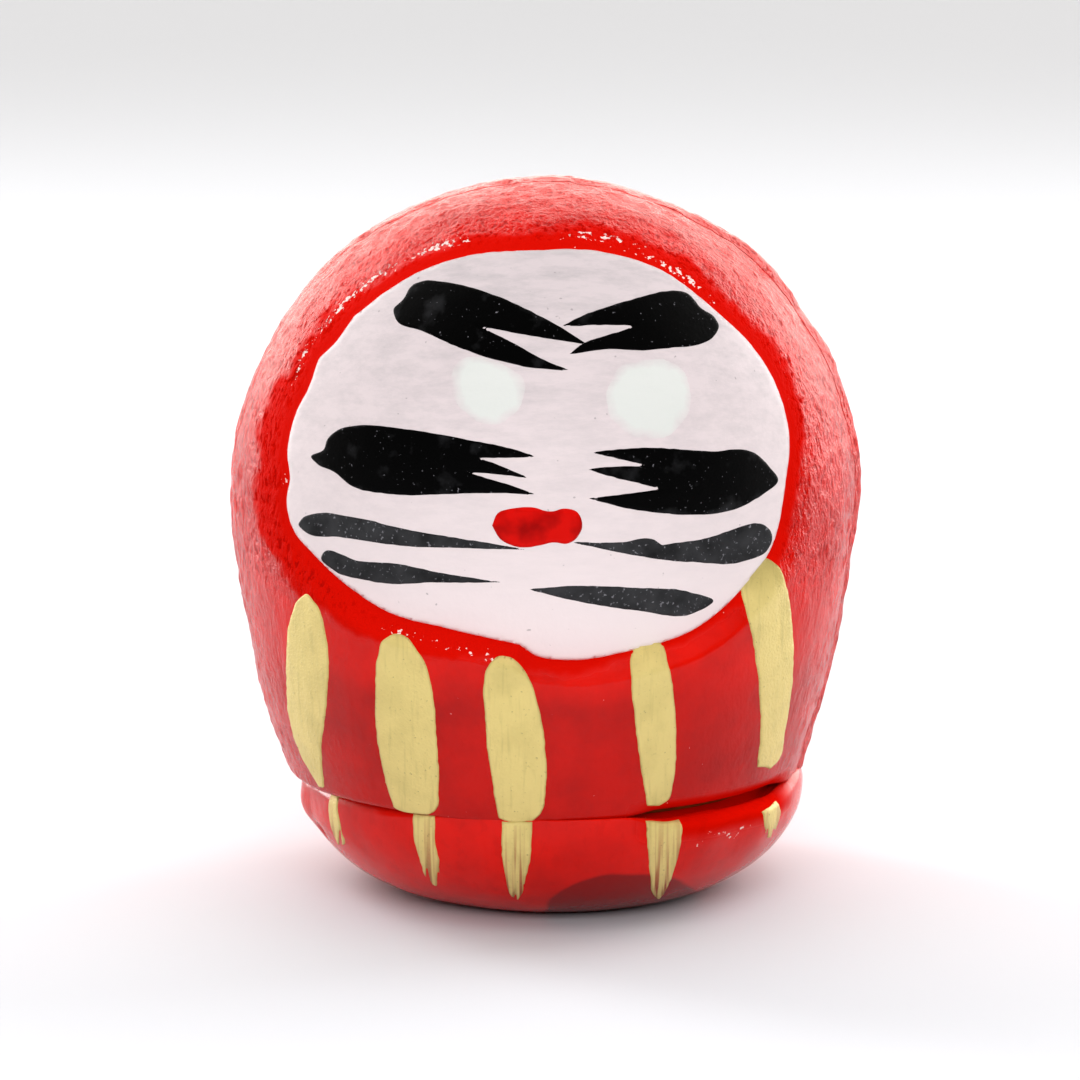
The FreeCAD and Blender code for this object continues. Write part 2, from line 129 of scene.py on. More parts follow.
def smooth_run(points, steps=10):
    """A smooth curve through given points: each span is a cubic whose end slopes are the chord slopes
    on both sides, weighted by the other chord's length. The last point is left out."""
    points = np.asarray(points, float)
    chord = np.linalg.norm(np.diff(points, axis=0), axis=1)[:, None]
    slope = np.diff(points, axis=0) / chord
    middle = (slope[:-1] * chord[1:] + slope[1:] * chord[:-1]) / (chord[1:] + chord[:-1])
    slopes = np.vstack([slope[:1], middle, slope[-1:]])
    share = np.linspace(0, 1, steps, endpoint=False)[None, :, None]
    start, end = points[:-1, None], points[1:, None]
    leave, arrive = slopes[:-1, None] * chord[:, None], slopes[1:, None] * chord[:, None]
    curve = (start * (1 + 2 * share) * (1 - share) ** 2 + leave * share * (1 - share) ** 2
             + end * share ** 2 * (3 - 2 * share) + arrive * share ** 2 * (share - 1))
    return curve.reshape(-1, 2)


def outline(runs):
    """A closed loop of smooth runs. Each run starts at a corner, and ends where the next one starts."""
    following = runs[1:] + runs[:1]
    return np.vstack([smooth_run(run + [after[0]]) for run, after in zip(runs, following)])


def edge_distance(x, z, loop):
    """Distance from points to a closed loop, negative inside it: the least distance to any of its edges,
    and an even-odd count of the edges to the right of the point for the side."""
    places = np.stack([np.ravel(x), np.ravel(z)], axis=-1)
    start, end = loop, np.roll(loop, -1, axis=0)
    along = end - start
    result = np.empty(len(places))
    for first in range(0, len(places), 8192):
        part = places[first:first + 8192, None]
        share = np.clip(((part - start) * along).sum(-1) / (along ** 2).sum(-1), 0, 1)
        away = np.linalg.norm(part - start - share[..., None] * along, axis=-1).min(axis=1)
        spans = (start[:, 1] > part[..., 1]) != (end[:, 1] > part[..., 1])
        rise = np.where(along[:, 1] == 0, 1, along[:, 1])
        crossing = start[:, 0] + (part[..., 1] - start[:, 1]) / rise * along[:, 0]
        inside = (spans & (part[..., 0] < crossing)).sum(axis=1) % 2 == 1
        result[first:first + 8192] = np.where(inside, -away, away)
    return result.reshape(np.shape(x))


# ---------------- outlines, as (across, up) in mm

# Edge of the white face. It is a little lower and wider on the doll's own left, and each run starts where
# two scallops of the red meet.
FACE = [[(-15.4, 50.2), (-12.7, 52.3), (-9.8, 54), (-5, 55.4), (-0.7, 55.7), (4.4, 55.6), (9.6, 54),
         (14, 50.7), (17.3, 47.4), (19.2, 44.1), (20.1, 40), (19.7, 36.2), (18.5, 31.5), (16, 28.5),
         (12.5, 25.8), (6.9, 24.2), (2.2, 23.6), (-0.6, 24)],
        [(-1.9, 24.9), (-7.3, 26), (-12.9, 27.2), (-15.5, 28.6), (-18.6, 31), (-20.4, 32.8),
         (-21, 34.7)],
        [(-20.7, 37), (-20.9, 39.4), (-20.4, 41.8), (-19.1, 44.5)],
        [(-18.3, 46.7), (-17.1, 47.9)]]

# Brush marks. Each run starts at a sharp tip or a notch between two tips.
INK_MARKS = {
    "brow_left": [
        [(3.5, 48.7), (0.3, 49.2), (-1.9, 49.5)],
        [(-5.4, 50.1), (-2.5, 48.9), (-0.2, 47.7)],
        [(2.4, 46.7), (-1, 47), (-3.6, 47.5), (-6.8, 48.4), (-9.7, 49.5), (-11.9, 50.2), (-12.1, 50.9),
         (-11.4, 51.6), (-10.7, 52.7), (-9.5, 53.2), (-8.3, 53.2), (-4.2, 52.4), (-1, 51.2), (1.4, 50)]],
    "brow_right": [
        [(1.5, 50.1), (3.6, 51), (5.7, 51.6), (7.5, 52), (9.8, 52.4), (11.7, 52.1), (12.8, 50.9),
         (13.9, 50.1), (14.2, 49.5), (13.8, 48.8), (12.7, 48.3), (10.4, 48.2), (8.2, 48.1), (5.3, 48.3)],
        [(2.1, 48), (3.3, 48.8), (5.3, 49.4)],
        [(7.6, 50), (4.6, 50.1)]],
    "cheek_beard_left": [
        [(-0.5, 40.2), (-2.7, 40.1)],
        [(-5, 40), (-3.2, 39.4)],
        [(-1.1, 38.5), (-2.9, 38.7)],
        [(-6.1, 38.9), (-2.5, 37.9)],
        [(-0.5, 37.2), (-2.5, 37.3), (-7.5, 37.1), (-12.2, 36.8), (-15.5, 37.2), (-16.9, 38.1),
         (-18.5, 38.7), (-18.8, 39), (-17.7, 39.8), (-17.5, 40.5), (-16.4, 41.5), (-15.2, 41.9),
         (-11.1, 42), (-6.7, 41.5), (-2.6, 40.8)]],
    "cheek_beard_right": [
        [(3.6, 40.5), (8.2, 40.7), (13.2, 40.1), (17, 39.6), (18.2, 38.5), (19.1, 37.1), (17.6, 36.1),
         (15.5, 35.3), (13.2, 35.1), (9.3, 35.5), (6.7, 36)],
        [(3.4, 36.9), (6, 37.1)],
        [(9.5, 37.4), (5.3, 38.6)],
        [(3.4, 39.2), (5.6, 39.3)],
        [(8.2, 39.3), (5, 40.2)]],
    "whisker_upper_left": [
        [(-1, 32.8), (-6.1, 32.8), (-11.1, 32.7), (-16.3, 32.9), (-19.3, 32.9), (-19.9, 33.4),
         (-19.6, 33.9), (-17.7, 34.7), (-15.6, 34.7), (-11.1, 34.1), (-5.9, 33.5)]],
    "whisker_lower_left": [
        [(-3.1, 30.1), (-8.2, 29.9), (-13.8, 29.5), (-17.2, 30.2), (-18, 30.9), (-17.8, 31.4),
         (-14.8, 31.1), (-11.7, 31.2), (-8.2, 30.7)]],
    "whisker_upper_right": [
        [(2.3, 33.4), (6.3, 33.3), (8.8, 33.4)],
        [(9.5, 32.9), (12.6, 33.1), (18.3, 33.3), (18.6, 32.5), (18.1, 31.5), (16.2, 30.9), (11.9, 31.3),
         (6.7, 32.3)]],
    "whisker_lower_right": [
        [(-1.4, 29.6), (2.2, 29.8), (7.5, 29.5), (11.9, 28.8), (13.7, 27.9), (11.9, 27), (7.5, 27.6),
         (2.5, 28.6)]],
}
EYES = {
    "eye_white_left": [[(-6.9, 43.6), (-7.7, 45.6), (-6.6, 47.8), (-3.6, 47.6), (-1.4, 46.2), (-1.6, 44),
                        (-3.6, 42.6), (-5.6, 42.7)]],
    "eye_white_right": [[(5.2, 43), (4.9, 45.2), (6.2, 47.2), (9.4, 47.5), (11.6, 46), (11.9, 43.4),
                         (10.4, 41.6), (7.4, 41.4)]],
}
MOUTH = [[(-4.1, 34.7), (-3.6, 35.7), (-2.4, 36.1), (-0.8, 36.2), (0.6, 35.9), (1.7, 36.1), (2.7, 35.8),
          (3.1, 34.9), (2.8, 33.9), (1.9, 33.3), (0.9, 33.4), (-0.4, 33.1), (-2, 33), (-3.4, 33.6)]]
GOLD_STROKES = {
    1: [[(-18.7, 10.5), (-20.4, 13.2), (-21.2, 17.2), (-21.2, 21.4), (-20.8, 25.4), (-20, 27.3),
         (-19.2, 27.9), (-18.4, 27.2), (-17.8, 25.2), (-17.5, 22.3), (-17.8, 18.3), (-18.3, 14.1)],
        [(-18.2, 10.6)]],
    2: [[(-12.3, 10.3), (-13.1, 13.5), (-13.6, 17.9), (-13.6, 20.8), (-13.4, 23.6), (-12.9, 25),
         (-12.1, 25.5), (-11.1, 25.4), (-9.9, 24.2), (-9, 21.4), (-8.6, 17), (-8.5, 13), (-8.9, 10.4)],
        [(-9.4, 10), (-11.6, 9.95)]],
    3: [[(-3.6, 10.2), (-4.3, 14.6), (-4.7, 19), (-4.8, 21.8), (-4.5, 23.3), (-3.7, 24.2), (-2.6, 24.1),
         (-1.4, 22.9), (-0.4, 20.2), (0.2, 16.4), (0.2, 13), (-0.4, 10.4)],
        [(-0.9, 10), (-3, 9.95)]],
    4: [[(8.5, 11), (7.9, 14.6), (7.5, 18), (7.1, 21.8), (7.1, 23.9), (7.7, 24.9), (8.6, 25.1),
         (9.5, 24.7), (10.1, 23.2), (10.6, 19.9), (10.8, 16.6), (10.6, 12.8), (10.2, 11.2)],
        [(9.5, 10.8)]],
    5: [[(17.7, 12.8), (17.9, 16.2), (17.6, 20.6), (17, 24.5), (16.4, 27), (16, 29), (16.4, 30.3),
         (17.6, 31), (18.9, 30.4), (19.8, 28.4), (20.5, 24.2), (20.6, 19.8), (20.1, 15.5), (19.5, 12.6)],
        [(18.9, 12.2), (18.3, 12.6)]],
}
# The gold runs on below the join, on the base. Four of its tails start at one height.
TAILS_TOP = 9.65
GOLD_TAILS = {
    1: [[(-19.1, TAILS_TOP), (-18.9, 7.8), (-18.4, 6.2), (-17.9, 5), (-17.5, 5.3), (-17.7, 7),
         (-18.1, 8.4)],
        [(-18.4, TAILS_TOP)]],
    2: [[(-11.6, TAILS_TOP), (-11.4, 7.4), (-10.9, 5.4), (-10.3, 3.6), (-9.7, 3), (-9.4, 4.2),
         (-9.3, 6), (-9.6, 7.6)],
        [(-9.7, TAILS_TOP)]],
    3: [[(-4.2, TAILS_TOP), (-4.15, 7), (-3.8, 4.6), (-3.5, 3), (-3, 2.4), (-2.6, 3.1),
         (-2.2, 5), (-1.8, 7.2)],
        [(-1.7, TAILS_TOP)]],
    4: [[(7.6, TAILS_TOP), (7.8, 6.6), (8, 4.4), (8.3, 2.4), (8.8, 1.5), (9.3, 2.6), (9.9, 4.6),
         (10.4, 7)],
        [(10.6, TAILS_TOP)]],
    5: [[(17.3, 8.9), (17.5, 7.4), (18, 5.9), (18.4, 5.8), (18.8, 6.8), (19.1, 7.9)],
        [(18.9, 9.3)]],
}
FACE_LOOP = outline(FACE)


# ---------------- the body's surface

def form_radius(height, grow=0.0):
    """Radius of the turned body at a height, with each of its three arcs grown by an offset."""
    corner = WIDEST + (SIDE_RADIUS + grow) * math.sin(SHOULDER)
    crown = np.sqrt(np.maximum((CROWN_RADIUS + grow) ** 2 - (height - TOP + CROWN_RADIUS) ** 2, 0))
    above = height - WIDEST
    side = HALF_WIDTH - SIDE_RADIUS + np.sqrt(np.maximum((SIDE_RADIUS + grow) ** 2 - above ** 2, 0))
    skirt = HALF_WIDTH - SKIRT_RADIUS + np.sqrt((SKIRT_RADIUS + grow) ** 2 - above ** 2)
    return np.where(height > corner, crown, np.where(height > WIDEST, side, skirt))


def meridian(share):
    """Radius, height and tilt of the body's profile, where the share runs evenly from seam to crown.

    The tilt is the angle of the outward normal above the horizon. It turns evenly along each arc, so
    a place along the profile gives the tilt, and the tilt on its arc gives radius and height."""
    low = math.asin((SEAM - WIDEST) / SKIRT_RADIUS)
    turns = np.array([low, 0, SHOULDER, math.pi / 2])
    lengths = np.diff(turns) * [SKIRT_RADIUS, SIDE_RADIUS, CROWN_RADIUS]
    stops = np.concatenate([[0], np.cumsum(lengths)])
    tilt = np.interp(np.asarray(share) * stops[-1], stops, turns)
    which = [tilt < 0, tilt < SHOULDER]
    reach = np.select(which, [SKIRT_RADIUS, SIDE_RADIUS], CROWN_RADIUS)
    middle = np.select(which, [HALF_WIDTH - SKIRT_RADIUS, HALF_WIDTH - SIDE_RADIUS], 0)
    radius = middle + reach * np.cos(tilt)
    height = np.select(which, [WIDEST, WIDEST], TOP - CROWN_RADIUS) + reach * np.sin(tilt)
    return radius, height, tilt


def round_points(radius, height, tilt, turn):
    """Points and outward normals of a turned form. The turn is 0 at the front and grows to +X."""
    sine, cosine = np.sin(turn), np.cos(turn)
    points = np.stack([radius * sine, -radius * cosine, height + 0 * turn], axis=-1)
    normals = np.stack([np.cos(tilt) * sine, -np.cos(tilt) * cosine, np.sin(tilt) + 0 * turn], axis=-1)
    return points, normals


# Places where the hand-laid paper stands out of round: (place, reach, height), all in mm.
BODY_SWELLS = [((19.5, 0, 54.0), 5.0, 0.35), ((24.5, 0, 45.0), 4.0, 0.30), ((26.5, 0, 34.5), 6.0, 0.45),
               ((22.3, 0, 49.0), 2.2, -0.25), ((3.0, 0, 60.0), 4.0, 0.15), ((-26.0, 0, 33.0), 7.0, 0.30),
               ((-5.0, -8.0, 59.0), 2.0, 0.12), ((-8.0, -5.0, 58.5), 1.6, 0.12),
               ((-25.0, 0, 22.0), 4.0, -0.15), ((23.5, -3.0, 13.0), 3.0, -0.30)]


def paper_relief(base, calm):
    """Height of the lacquered paper over the true form: broad lumps from the hand-laid sheets, the
    swells above, and millimetre wrinkles, which fade where the surface is calm."""
    lumps = 0.16 * noise(base, 9.0, 11) + 0.07 * noise(base, 3.5, 12)
    creases = 0.06 - np.abs(noise(base, 1.5, 13)) * 0.13 + 0.06 * noise(base, 0.75, 14)
    height = lumps * (0.4 + 0.6 * (1 - calm)) + creases * (1 - 0.9 * calm)
    for place, reach, size in BODY_SWELLS:
        height += size * np.exp(-((base - np.array(place)) ** 2).sum(-1) / reach ** 2)
    return height


def crack_window(turn):
    """1 along the open crack at the front right, 0 where the lacquer still bridges the join."""
    degrees = np.degrees(turn)
    return ease(degrees, CRACK[0], CRACK[1]) * ease(-degrees, -CRACK[3], -CRACK[2])


def lip_roll(base):
    """How far the skirt's bottom edge rolls under: least at the front, more at the left and most along the
    open crack."""
    turn = np.arctan2(base[..., 0], -base[..., 1])
    front, left, crack = 0.12, 0.5, 1.45
    reach = front + left * ease(-turn, 0.3, 0.75) + crack * crack_window(turn)
    short = np.clip(reach - (base[..., 2] - SEAM), 0, None)
    return reach - np.sqrt(np.maximum(reach ** 2 - short ** 2, 0))


def calmness(base, distance):
    """1 where brushing has smoothed the coat, in the hollow and on the chest, and 0 where it wrinkled."""
    hollow = 1 - ease(distance, 0.2, 1.6)
    chest = ease(-base[..., 2], -30, -25) * ease(-base[..., 1], 2, 15)
    return np.maximum(hollow, 0.95 * chest)


# Width in mm of the unvarnished band round the face, by direction from its middle in degrees.
BAND_TURNS = [-180, -150, -120, -90, -50, -20, 10, 40, 60, 80, 100, 125, 150, 180]
BAND_WIDTHS = [2.6, 3.2, 2.0, 0.9, 0.6, 1.0, 1.4, 1.3, 1.6, 1.7, 1.3, 1.1, 1.7, 2.6]


def matt_band(base, distance):
    """1 on the band of red that was touched up round the face and never varnished, and on the lip that
    rolls under at the crack, 0 elsewhere."""
    turn = np.degrees(np.arctan2(base[..., 2] - FACE_MIDDLE, base[..., 0]))
    ragged = 0.4 * noise(base, 2.0, 61) + 0.25 * noise(base, 0.6, 62)
    width = np.interp(turn, BAND_TURNS, BAND_WIDTHS) + ragged
    band = 1 - ease(distance, width - 0.35, width + 0.35)
    around = np.arctan2(base[..., 0], -base[..., 1])
    lip = ease(-base[..., 2], -SEAM - 1.7, -SEAM - 1.0) * crack_window(around)
    return np.maximum(0.9 * band, lip)


def body_skin(base, normals, distance, relief=1.0):
    """Moves points of the true form to the doll's surface. Inside the face's outline the form is pushed
    back to the hollow's floor. The push fades evenly over the rim outside it, up to a soft crest."""
    x, z = base[..., 0], base[..., 2]
    floor = SET_BACK - np.sqrt(np.maximum(form_radius(z, FLATTENING) ** 2 - x ** 2, 0))
    width = RIM_WIDTH - bump(np.arctan2(z - FACE_MIDDLE, x), -math.pi / 2, 0.8)
    short = 1 - (distance - RIM_FOOT) / width
    push = np.maximum(floor - base[..., 1], 0) * np.clip((short + np.sqrt(short ** 2 + 0.02)) / 2, 0, 1)
    crest = 0.08 * bump(distance, width + 0.4, 0.7)
    height = relief * (paper_relief(base, calmness(base, distance)) + crest - lip_roll(base))
    points = base + normals * height[..., None]
    points[..., 1] += push
    return points


def on_front(x, z, lift):
    """Points on the front of the doll's surface seen at (x, z), raised by a lift along the true form's
    normal."""
    radius = form_radius(z)
    turn = np.arcsin(np.clip(x / radius, -1, 1))
    corner = WIDEST + SIDE_RADIUS * math.sin(SHOULDER)
    arc = np.where(z > corner, CROWN_RADIUS, np.where(z > WIDEST, SIDE_RADIUS, SKIRT_RADIUS))
    centre = np.where(z > corner, TOP - CROWN_RADIUS, WIDEST)
    tilt = np.arcsin(np.clip((z - centre) / arc, -1, 1))
    base, normals = round_points(radius, z, tilt, turn)
    points = body_skin(base, normals, edge_distance(x, z, FACE_LOOP))
    return points + normals * np.asarray(lift)[..., None]


# ---------------- the clay base's surface

BOWL_CHORD = math.hypot(RIM_RADIUS - FOOT_RADIUS, SEAM)
BOWL_RADIUS = (BOWL_CHORD ** 2 / 4 + BOWL_BULGE ** 2) / (2 * BOWL_BULGE)
BOWL_X = (RIM_RADIUS + FOOT_RADIUS) / 2 - (BOWL_RADIUS - BOWL_BULGE) * SEAM / BOWL_CHORD
BOWL_Z = SEAM / 2 + (BOWL_RADIUS - BOWL_BULGE) * (RIM_RADIUS - FOOT_RADIUS) / BOWL_CHORD

# Lumps and dents of the modelled clay, in the same form as the body's.
BASE_SWELLS = [((-20.3, -4.0, 7.6), 1.8, 0.40), ((-18.8, -6.2, 5.4), 0.6, -0.45),
               ((13.5, -17.0, 8.0), 2.2, 0.25), ((18.0, -12.0, 7.8), 2.6, 0.30),
               ((9.0, -19.0, 8.3), 1.6, 0.18)]


def rim_inset(height, turn):
    """How far the bowl's rim is rounded in at a height, on a quarter circle that is tiny at the front, where
    the shell stands on it edge to edge."""
    degrees = np.degrees(turn)
    front, left, right = 0.1, 1.1, 1.1
    reach = front + left * ease(-degrees, 18, 42) + right * ease(degrees, 14, 30)
    short = np.clip(height - SEAM + reach, 0, reach)
    return reach - np.sqrt(reach ** 2 - short ** 2)


def clay_skin(base, normals, turn):
    """Moves points of the true bowl to the base's surface: broad lumps of modelled clay, fine brush marks,
    a slack rim at the front and left under the shell's edge, and a rounded rim. On the ledge inside the
    rim the lacquer is drawn up towards the shell, and along the open crack there is a groove."""
    height = 0.12 * noise(base, 7.0, 21) + 0.035 * noise(base, 2.2, 22) + 0.012 * noise(base, 0.8, 23)
    for place, reach, size in BASE_SWELLS:
        height += size * np.exp(-((base - np.array(place)) ** 2).sum(-1) / reach ** 2)
    slack = 0.12 * bump(turn, 0.0, 0.5) + 0.55 * bump(turn, -1.3, 0.6) + 0.45 * bump(turn, 1.45, 0.5)
    height *= 1 - 0.7 * ease(-base[..., 2], -1.5, -0.2)
    height -= slack * ease(base[..., 2], SEAM - 3.5, SEAM)
    points = base + normals * height[..., None]
    out = np.hypot(base[..., 0] - BASE_X, base[..., 1])
    share = np.clip((out - PLUG_RADIUS) / (RIM_RADIUS - PLUG_RADIUS), 0, 1)
    inset = share * rim_inset(base[..., 2], turn)
    points[..., 0] -= inset * np.sin(turn)
    points[..., 1] += inset * np.cos(turn)
    crack, inner = crack_window(turn), 1 - ease(share, 0.45, 0.8)
    rise = 0.30 - 0.55 * crack + (0.8 * (1 - crack) * ease(np.abs(turn), 0.4, 0.9) - 1.4 * crack) * inner
    points[..., 2] += ease(share, 0, 0.15) * ease(base[..., 2], SEAM - 1.6, SEAM) * rise
    return points


def on_bowl(x, z, lift):
    """Points on the front of the clay base seen at (x, z), raised by a lift along its normal."""
    tilt = np.arcsin(np.clip((z - BOWL_Z) / BOWL_RADIUS, -1, 1))
    radius = BOWL_X + BOWL_RADIUS * np.cos(tilt)
    turn = np.arcsin(np.clip((x - BASE_X) / radius, -1, 1))
    base, normals = round_points(radius, z, tilt, turn)
    base[..., 0] += BASE_X
    return clay_skin(base, normals, turn) + normals * np.asarray(lift)[..., None]


# ---------------- meshes

def new_piece(name, points, faces, slot, material, nodes=(), flat=(), **attributes):
    """A mesh object from points in mm and faces, riding on the doll's one body. Faces listed as flat are
    not smoothed, and each attribute is one number per point."""
    mesh = bpy.data.meshes.new(name)
    mesh.from_pydata((np.asarray(points) * MM).tolist(), [], faces)
    smooth = np.ones(len(faces), bool)
    smooth[list(flat)] = False
    mesh.polygons.foreach_set("use_smooth", smooth)
    for label, values in attributes.items():
        written = mesh.attributes.new(label, "FLOAT", "POINT")
        written.data.foreach_set("value", np.asarray(values, np.float32).ravel())
    mesh.materials.append(material)
    piece = bpy.data.objects.new(name, mesh)
    bpy.context.scene.collection.objects.link(piece)
    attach(piece, "root")
    if nodes:
        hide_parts(*nodes)
    return piece


def grid_faces(rows, columns, start=0, wrap=False):
    """Quads of a grid of points, whose normal is across x up; a wrapped grid closes on itself across."""
    number = start + np.arange(rows * columns).reshape(rows, columns)
    right = np.roll(number, -1, axis=1)
    last = columns if wrap else columns - 1
    corners = [number[:-1, :last], right[:-1, :last], right[1:, :last], number[1:, :last]]
    return np.stack(corners, -1).reshape(-1, 4)


def make_shell(name, first_turn, last_turn, wear, shade):
    """Half of the hollow body between two turns. The outer wall is a grid of turn by profile, the inner
    wall has a quarter of its rows and columns, and polygons of five outer and two inner points join them
    along the split and the mouth. Both walls end in one point at the crown."""
    rows, columns, coarse = 256, 348, 4
    share = np.linspace(0, 1, rows + 1)[:-1, None]
    turn = np.linspace(first_turn, last_turn, columns + 1)[None]
    base, normals = round_points(*meridian(share), turn)
    distance = np.full(base.shape[:-1], 99.0)
    front = base[..., 1] < -0.5
    distance[front] = edge_distance(base[..., 0][front], base[..., 2][front], FACE_LOOP)
    outer = body_skin(base, normals, distance)
    some = (slice(None, None, coarse), slice(None, None, coarse))
    inner = body_skin(base[some], normals[some], distance[some], relief=0) - WALL * normals[some]
    outer_top = np.array([[0, 0, outer[-1, :, 2].mean()]])
    inner_top = np.array([[0, 0, inner[-1, :, 2].mean() + 0.05]])
    points = np.vstack([outer.reshape(-1, 3), outer_top, inner.reshape(-1, 3), inner_top])

    few_rows, few = inner.shape[:2]
    many = columns + 1
    start = rows * many + 1
    outer_number = np.arange(rows * many).reshape(rows, many)
    inner_number = start + np.arange(few_rows * few).reshape(few_rows, few)
    last, inner_last = outer_number[-1].tolist(), inner_number[-1].tolist()
    faces = grid_faces(rows, many).tolist()
    faces += [[a, b, rows * many] for a, b in zip(last[:-1], last[1:])]
    faces += grid_faces(few_rows, few, start)[:, ::-1].tolist()
    faces += [[b, a, len(points) - 1] for a, b in zip(inner_last[:-1], inner_last[1:])]
    rounded = len(faces)
    for edge, inside, back in ((outer_number[0], inner_number[0], False),
                               (outer_number[:, 0], inner_number[:, 0], True),
                               (outer_number[:, -1], inner_number[:, -1], False)):
        for step in range(len(inside) - 1):
            strip = edge[step * coarse:(step + 1) * coarse + 1].tolist()
            wall = strip[::-1] + [int(inside[step]), int(inside[step + 1])]
            faces.append(wall[::-1] if back else wall)
    top_outer = outer_number[-coarse:, :]
    for column, inside, back in ((0, inner_number[-1, 0], True), (-1, inner_number[-1, -1], False)):
        strip = top_outer[:, column].tolist() + [rows * many]
        wall = strip[::-1] + [int(inside), len(points) - 1]
        faces.append(wall[::-1] if back else wall)
    looks = np.zeros((4, len(points)))
    looks[:, :rows * many] = np.reshape([wear(outer, distance), shade(outer, distance),
                                         calmness(base, distance), matt_band(base, distance)], (4, -1))
    return new_piece(name, points, faces, "red_lacquered_paper", LACQUERED_PAPER, [name],
                     range(rounded, len(faces)), wear=looks[0], shade=looks[1], calm=looks[2], matt=looks[3])


def make_strip():
    """Paper strip over the join of the shells, a grid of its length by its width. Its length follows the
    body's profile from the left foot over the crown to the right foot, its width lies across that on a
    circle of the body's own radius there, and its edges thin out to nothing. The right side stands proud."""
    rows, columns, half = 560, 26, 2.0
    share, across = np.linspace(-1, 1, rows)[:, None], np.linspace(-1, 1, columns)[None]
    radius, height, tilt = meridian(1 - np.abs(share))
    side = np.sign(share) + (share == 0)
    normals = np.stack(np.broadcast_arrays(side * np.cos(tilt), 0 * across, np.sin(tilt)), axis=-1)
    curve = np.maximum(radius, 1e-6) / np.maximum(np.cos(tilt), 1e-6)
    curve = np.where(np.cos(tilt) < 1e-3, CROWN_RADIUS, curve)
    places = np.stack(np.broadcast_arrays(share * 60, 0 * across, 0 * across), -1)
    width = half * (1 + 0.12 * noise(places, 6.0, 31))
    sideways = across * width
    base = np.stack(np.broadcast_arrays(side * radius, sideways, height + 0 * across), axis=-1)
    base = base - normals * (curve - np.sqrt(np.maximum(curve ** 2 - sideways ** 2, 0)))[..., None]
    proud = 0.10 + 0.38 * ease(share, 0.12, 0.30) + 0.06 * noise(base, 5.0, 32)
    thick = proud * ease(1 - np.abs(across), -0.1, 0.8) + 0.02
    relief = paper_relief(base, np.zeros(thick.shape)) - lip_roll(base)
    top = base + normals * (relief + thick)[..., None]
    under = base + normals * (relief - 0.3)[..., None]
    points = np.vstack([top.reshape(-1, 3), under.reshape(-1, 3)])
    number = np.arange(rows * columns).reshape(rows, columns)
    lower = grid_faces(rows, columns, rows * columns)
    faces = np.vstack([grid_faces(rows, columns)[:, ::-1], lower]).tolist()
    loop = np.concatenate([number[0, :-1], number[:-1, -1], number[-1, :0:-1], number[:0:-1, 0]])
    walls = len(faces)
    after = np.roll(loop, -1)
    faces += np.stack([loop, after, after + rows * columns, loop + rows * columns], -1).tolist()
    zeros = np.zeros(len(points))
    return new_piece("side_seam_strip", points, faces, "red_lacquered_paper", LACQUERED_PAPER,
                     ["side_seam_strip"], range(walls, len(faces)), wear=zeros, shade=zeros, calm=zeros,
                     matt=zeros)


